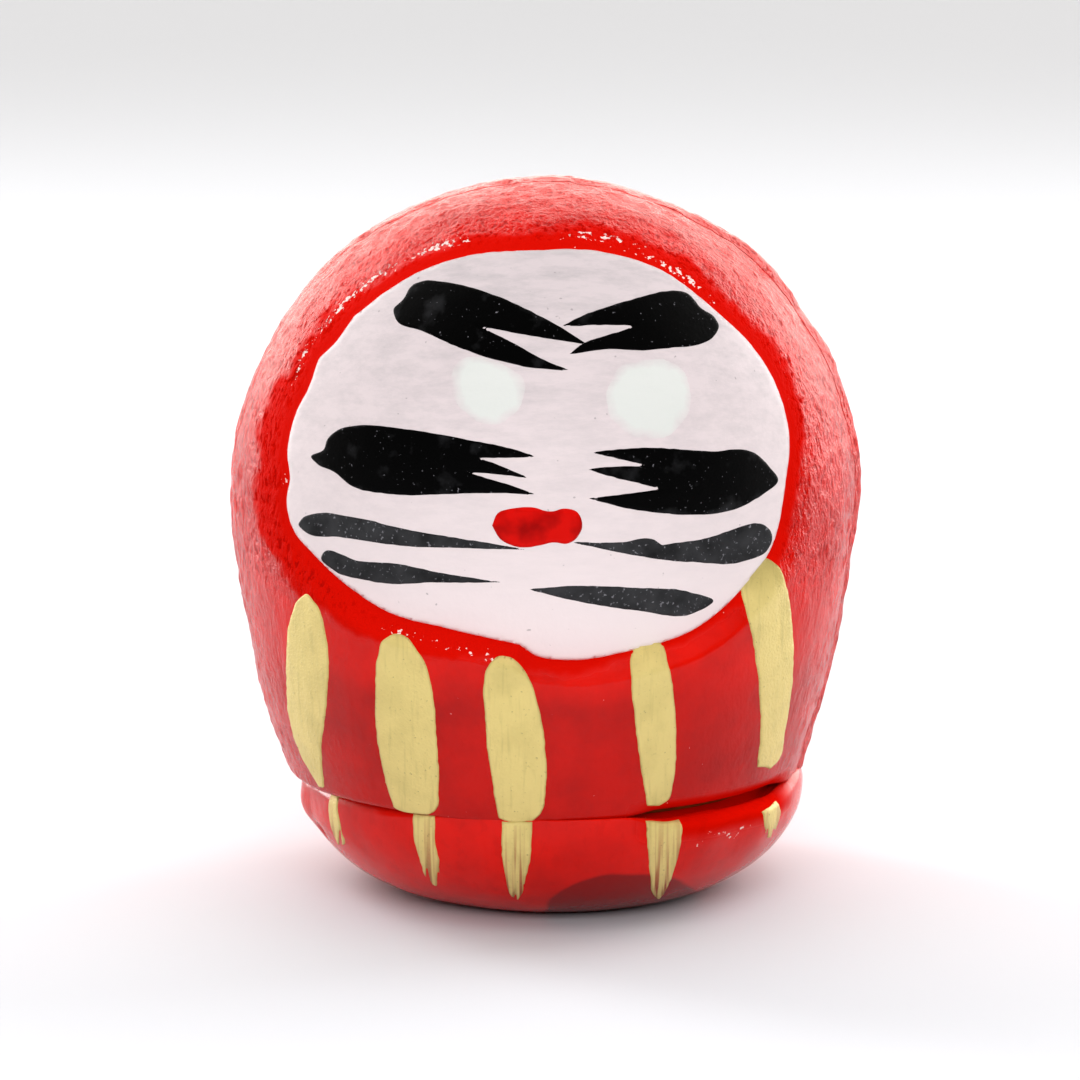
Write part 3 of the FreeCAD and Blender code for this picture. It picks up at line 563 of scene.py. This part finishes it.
def make_base():
    """The clay base, a closed grid of turn by profile. The profile runs from the middle of the foot out
    to its edge, up the bowl's arc to the rim, in to the plug and over the plug's top."""
    columns, rounding = 540, 1.2
    high = SEAM - rounding + rounding * np.sin(np.linspace(0, math.pi / 2, 13)[1:])
    low = math.asin(-BOWL_Z / BOWL_RADIUS)
    arc = np.concatenate([np.linspace(low, math.asin((SEAM - rounding - BOWL_Z) / BOWL_RADIUS), 58),
                          np.arcsin((high - BOWL_Z) / BOWL_RADIUS)])
    profile = [(out, 0.0, -math.pi / 2) for out in np.linspace(0.4, FOOT_RADIUS - 0.3, 14)]
    profile += [(BOWL_X + BOWL_RADIUS * math.cos(angle), BOWL_Z + BOWL_RADIUS * math.sin(angle), angle)
                for angle in arc]
    profile += [(out, SEAM, math.pi / 2) for out in np.linspace(RIM_RADIUS, PLUG_RADIUS, 20)[1:]]
    profile += [(PLUG_RADIUS, height, 0.0) for height in np.linspace(SEAM + 0.5, PLUG_TOP, 5)]
    profile += [(out, PLUG_TOP, math.pi / 2) for out in np.linspace(PLUG_RADIUS - 1, 0.4, 8)]
    radius, height, tilt = np.array(profile).T[:, :, None]
    turn = np.linspace(-math.pi, math.pi, columns, endpoint=False)[None]
    base, normals = round_points(radius, height, tilt, turn)
    base[..., 0] += BASE_X
    outer = clay_skin(base, normals, turn + 0 * radius)
    level, out = height + 0 * turn, radius + 0 * turn
    outer[level <= 0, 2] = 0
    inner_part = (level > SEAM) | (out <= PLUG_RADIUS) & (level >= SEAM)
    outer[inner_part] = base[inner_part]
    outer[..., 2] = np.maximum(outer[..., 2], 0)
    rows = len(profile)
    points = np.vstack([outer.reshape(-1, 3), [[BASE_X, 0, 0]], [[BASE_X, 0, PLUG_TOP]]])
    number = np.arange(rows * columns).reshape(rows, columns)
    faces = grid_faces(rows, columns, wrap=True).tolist()
    after = np.roll(number, -1, axis=1)
    faces += [[b, a, rows * columns] for a, b in zip(number[0].tolist(), after[0].tolist())]
    faces += [[a, b, rows * columns + 1] for a, b in zip(number[-1].tolist(), after[-1].tolist())]
    x, y, z = np.moveaxis(points, -1, 0)
    fold = 7.6 + 0.45 * np.sin(x * 1.9) + 0.25 * np.sin(x * 4.3)
    wear = 0.95 * bump(z, fold, 0.22) * ease(x, 11.4, 12.4) * ease(-x, -18.0, -17.0) * (y < 0)
    # A darker patch low on the front of the base, right of the middle, near the floor; it goes to the shade
    # attribute.
    patch = ((x - 6.6) / 6.2) ** 2 + ((z - 1.0) / 4.0) ** 2 + 0.10 * noise(points, 2.5, 24)
    shade = ease(-patch, -1.1, -0.9) * (y < 0)
    matt = ease(z, SEAM - 2.6, SEAM - 1.2) * crack_window(np.arctan2(x - BASE_X, -y))
    return new_piece("base_weight", points, faces, "red_lacquered_clay", LACQUERED_CLAY, ["base_weight"],
                     wear=wear, shade=shade, calm=np.full(len(points), 0.8), matt=matt)


def make_film(name, loop, surface, thickness, slot, material, spacing=0.12, edge=0.14, ragged=0.02,
              grain=0.5, dry=0):
    """A film of paint on a surface, trimmed to an outline. It is a grid of (across, up). Points nearer to
    the outline than half a step are moved onto it, cells with three or four points inside are kept, and
    the thickness rises from nothing at the outline along a quarter circle. The underside lies in what it
    is painted on, and a wall joins the two. Over a dry length at the low end, upright streaks are left
    bare where the brush ran out."""
    low, high = loop.min(0) - spacing, loop.max(0) + spacing
    steps = np.ceil((high - low) / spacing).astype(int)
    x, z = np.meshgrid(*[np.linspace(low[k], high[k], steps[k] + 1) for k in (0, 1)])
    places = np.stack([x, 0 * x, z], axis=-1)
    distance = edge_distance(x, z, loop)
    for size, seed in ((grain, 41), (grain * 3, 42)):
        distance = distance + ragged * noise(places, size, seed)
    if dry:
        bristle = noise(places * [1, 1, 0.06], 0.32, 43)
        distance = np.maximum(distance, 0.3 * (bristle - 1.0 + 0.75 * ease(-z, -low[1] - dry, -low[1])))
    down, across = np.gradient(distance, z[1, 0] - z[0, 0], x[0, 1] - x[0, 0])
    steep = np.maximum(np.hypot(down, across), 0.5)
    near = np.abs(distance) < 0.55 * spacing * steep
    shift = np.where(near, distance / steep ** 2, 0)
    x, z = x - shift * across, z - shift * down
    distance = np.where(near, 0, distance)
    number = np.arange(x.size).reshape(x.shape)
    cells = np.stack([number[:-1, :-1], number[:-1, 1:], number[1:, 1:], number[1:, :-1]], -1).reshape(-1, 4)
    inside = (distance.ravel() <= 0)[cells]
    quads = cells[inside.all(1)]
    corners = [cells[(inside.sum(1) == 3) & ~inside[:, k]][:, [(k + 1) % 4, (k + 2) % 4, (k + 3) % 4]]
               for k in range(4)]
    triangles = np.vstack(corners)
    sides = np.vstack([quads[:, [a, (a + 1) % 4]] for a in range(4)]
                      + [triangles[:, [a, (a + 1) % 3]] for a in range(3)])
    key, reverse = sides[:, 0] * x.size + sides[:, 1], sides[:, 1] * x.size + sides[:, 0]
    border = sides[~np.isin(key, reverse)]
    used = np.unique(sides)
    order = np.zeros(x.size, int)
    order[used] = np.arange(len(used))
    flat_x, flat_z, depth = x.ravel()[used], z.ravel()[used], -distance.ravel()[used]
    rise = thickness * np.sqrt(1 - (1 - np.clip(depth / edge, 0, 1)) ** 2)
    top = surface(flat_x, flat_z, rise)
    under = surface(flat_x, flat_z, np.full(len(used), -FILM_SINK))
    quads, triangles, border = order[quads], order[triangles], order[border]
    count = len(used)
    walls = np.stack([border[:, 1], border[:, 0], border[:, 0] + count, border[:, 1] + count], -1)
    faces = (quads.tolist() + triangles.tolist() + (quads[:, ::-1] + count).tolist()
             + (triangles[:, ::-1] + count).tolist())
    smooth = len(faces)
    faces += walls.tolist()
    return new_piece(name, np.vstack([top, under]), faces, slot, material, [name], range(smooth, len(faces)),
                     depth=np.concatenate([depth, depth]))


# ---------------- materials

def colour(code):
    """An sRGB hex colour as linear numbers with an alpha of 1."""
    parts = np.array([int(code[k:k + 2], 16) for k in (0, 2, 4)]) / 255
    linear = np.where(parts <= 0.04045, parts / 12.92, ((parts + 0.055) / 1.055) ** 2.4)
    return (*linear.tolist(), 1.0)


def add(tree, kind, values, **settings):
    """Adds one node. Settings are its own properties. Values go to inputs by name or number. A value that
    is another node's output makes a link, and a whole node stands for its first output in use."""
    made = tree.nodes.new("ShaderNode" + kind)
    for name, value in settings.items():
        setattr(made, name, value)
    for name, value in values.items():
        if isinstance(value, bpy.types.Node):
            value = next(socket for socket in value.outputs if socket.enabled)
        if isinstance(value, bpy.types.NodeSocket):
            tree.links.new(value, made.inputs[name])
        else:
            made.inputs[name].default_value = value
    return made


def new_material(name):
    """A material with no shader yet; returns it with its tree and its object coordinates."""
    material = bpy.data.materials.new(name)
    material.use_nodes = True
    tree = material.node_tree
    tree.nodes.clear()
    return material, tree, add(tree, "TexCoord", {}).outputs["Object"]


def shaded(material, **values):
    """Ends a material's tree in one Principled shader with these values, and returns the material."""
    tree = material.node_tree
    shader = add(tree, "BsdfPrincipled", {key.replace("_", " "): value for key, value in values.items()})
    add(tree, "OutputMaterial", {"Surface": shader})
    return material


def per_grain(size):
    """Scale of a texture whose grains are so many millimetres wide, on coordinates in metres."""
    return 1 / (size * MM)


def make_lacquer(name, wrinkle, wrinkle_depth, gloss):
    """Red lacquer brushed over a white ground. It reads as a deep clear red that goes pale pink where it
    mirrors the studio at a grazing angle, clouded where the coats overlap, darker in the patches that the
    shade attribute marks, and broken up by the wrinkles under it, whose pits are painted darker as shade and
    don't shine. On worn edges the white ground shows in flecks. The band round the face, touched up last and
    not varnished, is a matt pure red."""
    material, tree, place = new_material(name)
    wear, shade, calm, matt = [add(tree, "Attribute", {}, attribute_name=label).outputs["Fac"]
                               for label in ("wear", "shade", "calm", "matt")]
    dull = add(tree, "MapRange", {"Value": matt, "To Min": gloss, "To Max": 0.75})
    cloud = add(tree, "TexNoise", {"Vector": place, "Scale": per_grain(6), "Detail": 8, "Roughness": 0.62})
    pooled = add(tree, "MapRange", {"Value": cloud, "From Min": 0.38, "From Max": 0.68})
    # The shade attribute adds darker patches: low on the front of the chest and low on the front of the
    # base.
    coats = add(tree, "Math", {0: pooled, 1: 0.38, 2: shade}, operation="MULTIPLY_ADD")
    along = add(tree, "Mapping", {"Vector": place, "Scale": (1.0, 1.0, 0.55)})
    fine = add(tree, "TexNoise", {"Vector": along, "Scale": per_grain(wrinkle), "Detail": 3,
                                  "Roughness": 0.6})
    slack = add(tree, "MapRange", {"Value": calm, "To Min": 1.0, "To Max": 0.15})
    # Painted shade: the low places of the wrinkle noise, which the bump also sinks, get the darker pit
    # colour below.
    low = add(tree, "MapRange", {"Value": fine, "From Min": 0.47, "From Max": 0.39})
    pit = add(tree, "Math", {0: low, 1: slack}, operation="MULTIPLY")
    deep = add(tree, "MapRange", {"Value": pit, "From Min": 0.2, "To Max": 0.75})
    fleck = add(tree, "TexNoise", {"Vector": place, "Scale": per_grain(0.4), "Detail": 3,
                                   "Roughness": 0.6})
    worn = add(tree, "Math", {0: wear, 1: 0.26, 2: fleck}, operation="MULTIPLY_ADD")
    chip = add(tree, "MapRange", {"Value": worn, "From Min": 0.76, "From Max": 0.79})
    skin = colour("D60E02")
    for share, code in ((coats, "8A0A08"), (matt, "CA0A01"), (deep, "980906"), (chip, "F2D2CC")):
        skin = add(tree, "Mix", {0: share, 6: skin, 7: colour(code)}, data_type="RGBA")
    hidden = add(tree, "Math", {0: deep, 1: matt}, operation="ADD")
    mirror = add(tree, "MapRange", {"Value": hidden, "To Min": 0.18, "To Max": 0.0})
    lifted = add(tree, "Math", {0: chip, 1: -0.5, 2: fine}, operation="MULTIPLY_ADD")
    relief = add(tree, "Bump", {"Height": lifted, "Strength": slack, "Distance": wrinkle_depth * MM})
    return shaded(material, Base_Color=skin, Roughness=dull, IOR=1.5, Specular_IOR_Level=mirror,
                  Normal=relief)


def make_face_paint(name, washed=False):
    """Shell-white ground brushed on and rubbed down: a chalky pink white, painted greyer towards the top as
    shade, with faint level smudges, stronger towards the top with the same painted shade, and a few dark
    specks. It shows almost no mirror, only a soft sheen. The eyes, which the owner of the doll fills in
    later, have a patchy greenish white wash that fades out at its edge."""
    material, tree, place = new_material(name)
    height = add(tree, "SeparateXYZ", {"Vector": place}).outputs["Z"]
    # Painted shade: this ramp greys the paint towards the top of the face, where less light falls, and also
    # scales the smudges.
    upper = add(tree, "MapRange", {"Value": height, "From Min": 26 * MM, "From Max": 56 * MM})
    level = add(tree, "Mapping", {"Vector": place, "Scale": (0.35, 1.0, 1.6)})
    smudge = add(tree, "TexNoise", {"Vector": level, "Scale": per_grain(1.7), "Detail": 8,
                                    "Roughness": 0.75})
    rubbed = add(tree, "MapRange", {"Value": smudge, "From Min": 0.42, "From Max": 0.70, "To Max": 0.55})
    grey = add(tree, "Math", {0: rubbed, 1: upper}, operation="MULTIPLY")
    speck = add(tree, "TexNoise", {"Vector": place, "Scale": per_grain(0.55), "Detail": 1})
    dirt = add(tree, "MapRange", {"Value": speck, "From Min": 0.765, "From Max": 0.80, "To Max": 0.45})
    coats = [(upper, "C9BDBF"), (grey, "9A9698"), (dirt, "6E6468")]
    if washed:
        depth = add(tree, "Attribute", {}, attribute_name="depth").outputs["Fac"]
        patchy = add(tree, "TexNoise", {"Vector": place, "Scale": per_grain(1.8), "Detail": 4})
        cover = add(tree, "Math", {0: patchy, 1: 1.6, 2: depth}, operation="MULTIPLY_ADD")
        solid = add(tree, "MapRange", {"Value": cover, "From Min": 0.75, "From Max": 1.7, "To Max": 0.9})
        coats.append((solid, "D6D9D4"))
    paint = colour("E9DBDB")
    for share, code in coats:
        paint = add(tree, "Mix", {0: share, 6: paint, 7: colour(code)}, data_type="RGBA")
    fine = add(tree, "TexNoise", {"Vector": place, "Scale": per_grain(0.9), "Detail": 4})
    relief = add(tree, "Bump", {"Height": fine, "Strength": 0.7, "Distance": 0.05 * MM})
    return shaded(material, Base_Color=paint, Roughness=0.45, IOR=1.45, Specular_IOR_Level=0.3,
                  Normal=relief)


def make_ink():
    """Black ink brushed on the chalky paint: a dense soft black with almost no sheen, greyer on the
    whiskers, where the brush had less left, with pale pinholes where it skipped over grains."""
    material, tree, place = new_material("brushed_black_ink")
    height = add(tree, "SeparateXYZ", {"Vector": place}).outputs["Z"]
    thin = add(tree, "MapRange", {"Value": height, "From Min": 36 * MM, "From Max": 34.5 * MM})
    hole = add(tree, "TexNoise", {"Vector": place, "Scale": per_grain(0.3), "Detail": 2})
    skipped = add(tree, "Math", {0: thin, 1: 0.07, 2: hole}, operation="MULTIPLY_ADD")
    speck = add(tree, "MapRange", {"Value": skipped, "From Min": 0.70, "From Max": 0.78, "To Max": 0.6})
    cloud = add(tree, "TexNoise", {"Vector": place, "Scale": per_grain(2.2), "Detail": 4})
    worn = add(tree, "Math", {0: thin, 1: 0.45, 2: cloud}, operation="MULTIPLY_ADD")
    faded = add(tree, "MapRange", {"Value": worn, "From Min": 0.58, "From Max": 1.3})
    ink = colour("030303")
    for share, code in ((faded, "404042"), (speck, "8C8A90")):
        ink = add(tree, "Mix", {0: share, 6: ink, 7: colour(code)}, data_type="RGBA")
    relief = add(tree, "Bump", {"Height": hole, "Strength": 0.6, "Distance": 0.03 * MM})
    return shaded(material, Base_Color=ink, Roughness=0.5, IOR=1.45, Specular_IOR_Level=0.05,
                  Normal=relief)


def make_mouth_paint():
    """Vermilion dabbed on in one thick touch: a flat warm red, darker where it pooled."""
    material, tree, place = new_material("dabbed_vermilion_paint")
    pool = add(tree, "TexNoise", {"Vector": place, "Scale": per_grain(2.6), "Detail": 3})
    thick = add(tree, "MapRange", {"Value": pool, "From Min": 0.45, "From Max": 0.68})
    paint = add(tree, "Mix", {0: thick, 6: colour("CC0C06"), 7: colour("960403")}, data_type="RGBA")
    relief = add(tree, "Bump", {"Height": pool, "Strength": 0.8, "Distance": 0.12 * MM})
    return shaded(material, Base_Color=paint, Roughness=0.38, IOR=1.47, Specular_IOR_Level=0.06,
                  Normal=relief)


def make_gold():
    """Brass powder in binder, drawn on with a soft flat brush: a pale satin gold with almost no mirror,
    since the flakes lie every way. It is stippled, with dark pinholes between the flakes and faint upright
    bristle lines, olive where the film is thin, and streaked with red where the brush ran dry."""
    material, tree, place = new_material("brushed_brass_powder_paint")
    height = add(tree, "SeparateXYZ", {"Vector": place}).outputs["Z"]
    depth = add(tree, "Attribute", {}, attribute_name="depth").outputs["Fac"]
    drawn = add(tree, "Mapping", {"Vector": place, "Scale": (1.0, 0.2, 0.08)})
    bristle = add(tree, "TexNoise", {"Vector": drawn, "Scale": per_grain(0.35), "Detail": 3})
    lines = add(tree, "MapRange", {"Value": bristle, "From Min": 0.55, "From Max": 0.82, "To Max": 0.35})
    patch = add(tree, "TexNoise", {"Vector": place, "Scale": per_grain(3.0), "Detail": 4})
    thin = add(tree, "MapRange", {"Value": patch, "From Min": 0.45, "From Max": 0.75})
    smear = add(tree, "MapRange", {"Value": height, "From Min": 28 * MM, "From Max": 31 * MM})
    olive = add(tree, "Math", {0: thin, 1: 0.3, 2: lines}, operation="MULTIPLY_ADD")
    olive = add(tree, "Math", {0: smear, 1: 0.7, 2: olive}, operation="MULTIPLY_ADD")
    dry = add(tree, "MapRange", {"Value": height, "From Min": 9.6 * MM, "From Max": 3 * MM, "To Min": 0.15})
    on_base = add(tree, "Math", {0: height, 1: TAILS_TOP * MM}, operation="LESS_THAN")
    starved = add(tree, "Math", {0: dry, 1: on_base}, operation="MULTIPLY")
    long = add(tree, "Mapping", {"Vector": place, "Scale": (1.0, 0.04, 0.03)})
    trail = add(tree, "TexNoise", {"Vector": long, "Scale": per_grain(0.3), "Detail": 1})
    streak = add(tree, "MapRange", {"Value": trail, "From Min": 0.48, "From Max": 0.62})
    bare = add(tree, "Math", {0: streak, 1: starved}, operation="MULTIPLY", use_clamp=True)
    rim = add(tree, "MapRange", {"Value": depth, "From Max": 0.16, "To Min": 0.4, "To Max": 0.0})
    fine = add(tree, "TexNoise", {"Vector": place, "Scale": per_grain(0.25), "Detail": 3})
    pinhole = add(tree, "MapRange", {"Value": fine, "From Min": 0.66, "From Max": 0.76, "To Max": 0.55})
    paint = colour("E2CC80")
    for share, code in ((olive, "AC9A56"), (bare, "A0401E"), (rim, "A08A40"), (pinhole, "6E5A26")):
        paint = add(tree, "Mix", {0: share, 6: paint, 7: colour(code)}, data_type="RGBA")
    both = add(tree, "Math", {0: bristle, 1: 0.4, 2: fine}, operation="MULTIPLY_ADD")
    relief = add(tree, "Bump", {"Height": both, "Strength": 1.0, "Distance": 0.08 * MM})
    return shaded(material, Base_Color=paint, Metallic=0.25, Roughness=0.5, Normal=relief)


def make_glue():
    """Animal glue set in the joint: brown amber stained by the lacquer that ran in, glassy and wrinkled."""
    material, tree, place = new_material("set_animal_glue")
    drops = add(tree, "TexNoise", {"Vector": place, "Scale": per_grain(1.5), "Detail": 3})
    amber = add(tree, "Mix", {0: drops, 6: colour("5E1A0C"), 7: colour("96481E")}, data_type="RGBA")
    relief = add(tree, "Bump", {"Height": drops, "Strength": 0.8, "Distance": 0.2 * MM})
    return shaded(material, Base_Color=amber, Roughness=0.25, IOR=1.5, Normal=relief)


LACQUERED_PAPER = make_lacquer("red_lacquer_on_papier_mache", 0.42, 0.3, 0.2)
LACQUERED_CLAY = make_lacquer("red_lacquer_on_clay", 0.8, 0.14, 0.18)
FACE_PAINT = make_face_paint("shell_white_face_paint")
EYE_PAINT = make_face_paint("eye_wash_on_shell_white", washed=True)
INK = make_ink()
MOUTH_PAINT = make_mouth_paint()
GOLD = make_gold()


# ---------------- camera, floor and light

def look_at(thing, place, target):
    """Puts a camera or light at a place, facing a target, both in mm."""
    thing.location = Vector(place) * MM
    thing.rotation_euler = (Vector(target) - Vector(place)).to_track_quat("-Z", "Y").to_euler()
    bpy.context.scene.collection.objects.link(thing)


def make_camera():
    """A long lens, ten degrees above the horizon, on the middle of the doll."""
    data = bpy.data.cameras.new("camera")
    data.sensor_width, data.lens = 36.0, 156.7
    camera = bpy.data.objects.new("camera", data)
    target = Vector((-0.26, 0.0, TOP / 2 - 0.73))
    rise, away = math.radians(10), 400
    look_at(camera, target + away * Vector((0, -math.cos(rise), math.sin(rise))), target)
    bpy.context.scene.camera = camera


def make_backdrop(name, profile, tone):
    """A pale piece of the studio, whose points are a grid of turn by a profile of (radius, height)."""
    turn = np.linspace(-math.pi, math.pi, 96, endpoint=False)[None]
    radius, height = np.array(profile).T[:, :, None]
    points = np.stack([radius * np.sin(turn), -radius * np.cos(turn), height + 0 * turn], axis=-1)
    mesh = bpy.data.meshes.new(name)
    faces = grid_faces(*points.shape[:2], wrap=True)[:, ::-1].tolist()
    mesh.from_pydata((points.reshape(-1, 3) * MM).tolist(), [], faces)
    mesh.polygons.foreach_set("use_smooth", np.ones(len(faces), bool))
    mesh.materials.append(shaded(new_material(name + "_paint")[0], Base_Color=colour(tone), Roughness=0.9))
    piece = bpy.data.objects.new(name, mesh)
    bpy.context.scene.collection.objects.link(piece)
    return piece


def make_stage():
    """A pale floor, and a wall far off on every side that turns up out of it. Only the camera sees the
    wall, so the doll and the floor are lit by the room behind it."""
    reach, bend, top = 2500.0, 900.0, 1500.0
    make_backdrop("floor", [(0.5, 0.0), (reach, 0.0)], "C6C8CD")
    rise = np.linspace(0, math.pi / 2, 24)
    curve = list(zip(reach + bend * np.sin(rise), bend - bend * np.cos(rise)))
    wall = make_backdrop("wall", curve + [(reach + bend, top)], "E2E4E8")
    wall.visible_glossy = wall.visible_diffuse = wall.visible_shadow = False


def make_light(name, kind, place, power, mirrored=True, **settings):
    """A soft light that faces the doll. One that isn't mirrored leaves no highlight on it."""
    data = bpy.data.lights.new(name, kind)
    data.energy = power
    for label, value in settings.items():
        setattr(data, label, value)
    lamp = bpy.data.objects.new(name, data)
    lamp.visible_glossy = mirrored
    look_at(lamp, place, (0, 0, 30))


def make_world():
    """The room: dark behind the camera and overhead, and bright low down behind the doll."""
    world = bpy.data.worlds.new("studio")
    world.use_nodes = True
    tree = world.node_tree
    way = add(tree, "TexCoord", {}).outputs["Generated"]
    split = add(tree, "SeparateXYZ", {"Vector": way}).outputs
    level = add(tree, "Math", {0: split["Z"], 1: -0.5, 2: split["Y"]}, operation="MULTIPLY_ADD")
    glow = add(tree, "MapRange", {"Value": level, "From Min": -0.1, "From Max": 0.5, "To Min": 0.07,
                                  "To Max": 3.0})
    background = tree.nodes["Background"]
    background.inputs["Color"].default_value = (1, 0.95, 0.88, 1)
    tree.links.new(glow.outputs["Result"], background.inputs["Strength"])
    bpy.context.scene.world = world


make_camera()
make_stage()
make_light("overhead", "SUN", (0, -150, 900), 1.8, mirrored=False, angle=math.radians(70))
make_light("front_fill", "AREA", (0, -600, 340), 3.1, mirrored=False, shape="RECTANGLE", size=0.7,
           size_y=0.3)
make_light("left_strip", "AREA", (-470, 380, 300), 3.2, shape="RECTANGLE", size=0.16, size_y=0.7)
make_light("right_strip", "AREA", (480, 330, 260), 2.8, shape="RECTANGLE", size=0.34, size_y=0.5)
make_world()
bpy.context.scene.view_settings.view_transform = "Standard"


# ---------------- the doll

# Worn places along the rim of the face: (across, up, reach, distance from the white edge, strength).
RIM_WEAR = [(-14.5, 51.0, 5.5, 1.3, 1.2), (-8.0, 55.3, 3.5, 1.2, 1.1), (-19.5, 46.5, 2.5, 1.3, 0.9),
            (4.5, 57.0, 4.0, 1.0, 0.95), (11.0, 54.0, 5.0, 0.5, 1.0), (-11.0, 26.3, 2.5, 1.1, 0.9),
            (-5.0, 24.6, 4.0, 1.2, 0.8), (-21.5, 37.0, 0.9, 0.4, 1.0)]


def rim_wear(points, distance):
    """How likely the white ground shows: along the rim, within reach of each worn place."""
    total = np.zeros(distance.shape)
    for x, z, reach, away, strength in RIM_WEAR:
        near = np.exp(-((points[..., 0] - x) ** 2 + (points[..., 2] - z) ** 2) / reach ** 2)
        total = np.maximum(total, strength * near * bump(distance, away, 0.35))
    return total


def chest_shade(points, distance):
    """Darker red low on the front of the chest, below the face and away from its rim."""
    return 0.35 * ease(-points[..., 2], -23, -19) * ease(distance, 2, 4) * ease(-points[..., 1], 3, 14)


def plain(points, distance):
    """No wear and no darker patches, as on the back."""
    return np.zeros(distance.shape)


make_shell("front_shell", -math.pi / 2, math.pi / 2, rim_wear, chest_shade)
make_shell("back_shell", math.pi / 2, 3 * math.pi / 2, plain, plain)
make_strip()
make_base()
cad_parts["glue_ring"].material_slots[0].material = make_glue()

make_film("face_coat", FACE_LOOP, on_front, FACE_FILM, "white_face_paint", FACE_PAINT, spacing=0.22,
          edge=0.2)


def on_coat(x, z, lift):
    """Points on the white face coat."""
    return on_front(x, z, FACE_FILM + lift)


def in_coat(x, z, lift):
    """Points on a wash that has soaked into the face coat, so that it has no edge."""
    return on_coat(x, z, lift - 0.02)


for name, runs in INK_MARKS.items():
    make_film(name, outline(runs), on_coat, INK_FILM, "black_ink", INK, ragged=0.025)
for name, runs in EYES.items():
    make_film(name, outline(runs), in_coat, EYE_FILM, "eye_white_paint", EYE_PAINT, spacing=0.16, edge=0.8,
              ragged=0.12, grain=1.2)
make_film("mouth", outline(MOUTH), on_coat, MOUTH_FILM, "red_mouth_paint", MOUTH_PAINT, edge=0.35)
for number, runs in GOLD_STROKES.items():
    make_film(f"gold_stroke_{number}", outline(runs), on_front, GOLD_FILM, "gold_paint", GOLD, ragged=0.035)
for number, runs in GOLD_TAILS.items():
    loop = outline(runs) + [BASE_X, 0]
    make_film(f"gold_tail_{number}", loop, on_bowl, GOLD_FILM, "gold_paint", GOLD, spacing=0.08,
              ragged=0.04, dry=3.5)
